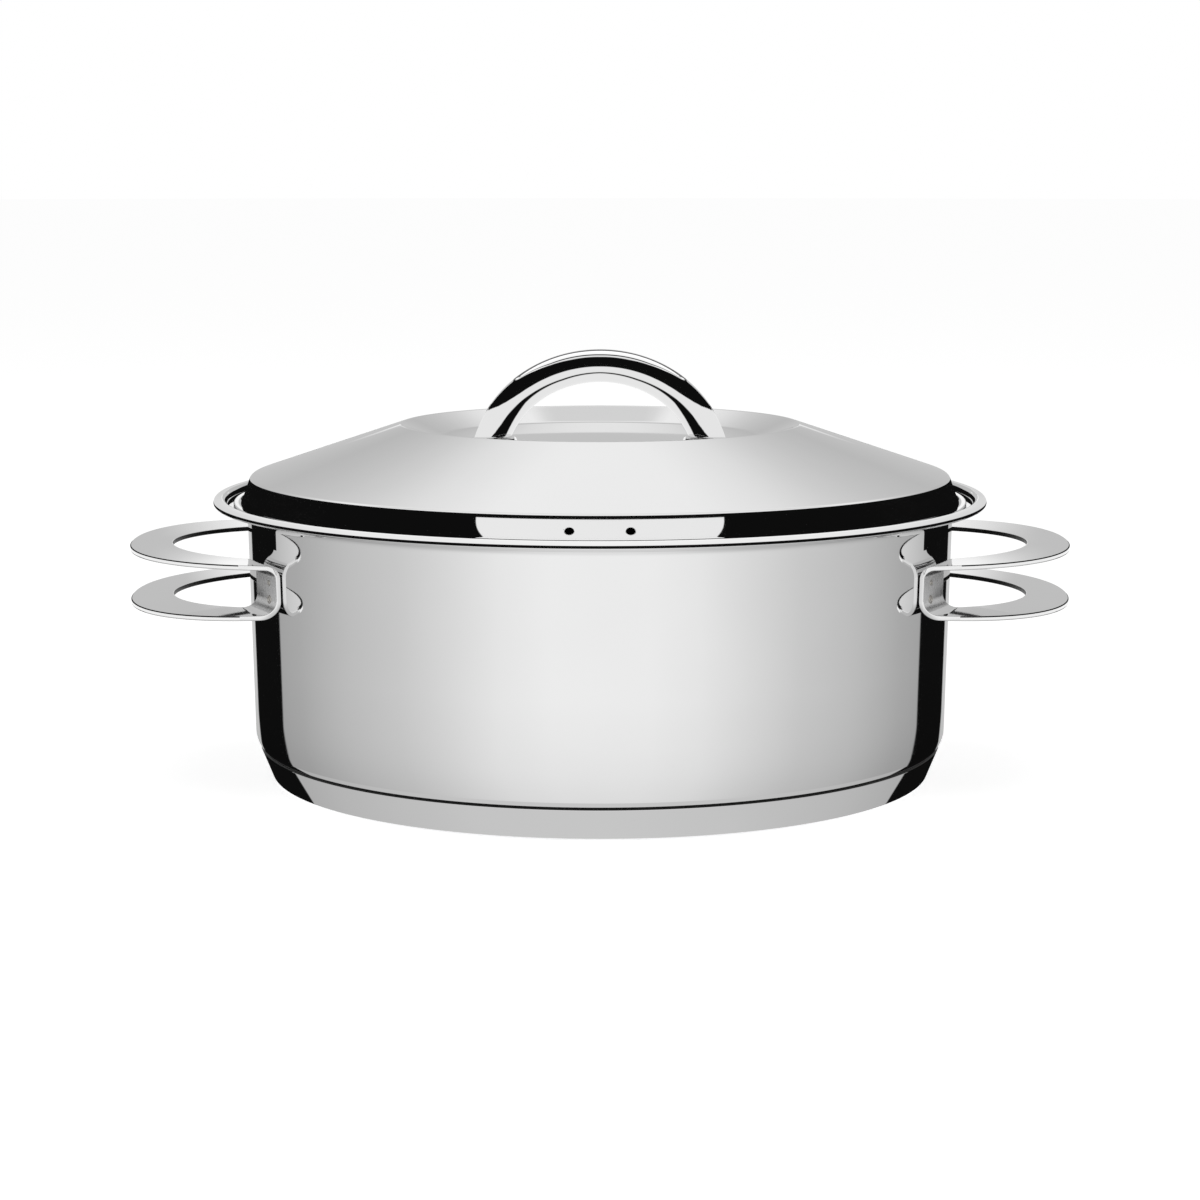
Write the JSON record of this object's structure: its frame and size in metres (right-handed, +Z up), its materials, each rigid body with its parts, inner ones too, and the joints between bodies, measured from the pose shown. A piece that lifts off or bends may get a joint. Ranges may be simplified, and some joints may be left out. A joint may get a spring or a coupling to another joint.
{
  "type": "casserole pot",
  "caption": "Low round stainless-steel casserole with a sandwich base, looped strap side handles and a conical lid with a sunken dish, arched grip and steam vents.",
  "frame": {"origin": "centre of the base's flat underside, on the surface the pot stands on", "axes": "+Z up along the pot's axis, +X through the right side handle, -Y towards the lid's steam vents, the pictured front"},
  "size_m": [0.322, 0.2644, 0.1452],
  "materials": {
    "polished_steel": "mirror-polished 18/10 stainless steel",
    "weld_steel": "bare spot-weld metal",
    "spreader_aluminium": "as pressed"
  },
  "bodies": {
    "pot": {"pot_shell": "polished_steel", "heat_spreader": "spreader_aluminium", "base_cap": "polished_steel", "right_handle": "polished_steel", "right_handle_front_upper_weld": "weld_steel", "right_handle_front_lower_weld": "weld_steel", "right_handle_rear_upper_weld": "weld_steel", "right_handle_rear_lower_weld": "weld_steel", "left_handle": "polished_steel", "left_handle_front_upper_weld": "weld_steel", "left_handle_front_lower_weld": "weld_steel", "left_handle_rear_upper_weld": "weld_steel", "left_handle_rear_lower_weld": "weld_steel"},
    "lid": {"lid_shell": "polished_steel", "lid_handle": "polished_steel", "lid_handle_left_weld": "weld_steel", "lid_handle_right_weld": "weld_steel"}
  },
  "joints": [
    {"name": "lid_lift", "type": "slide", "parent": "pot", "child": "lid", "axis": [0, 0, 1], "range_m": [0, 0.16]}
  ]
}
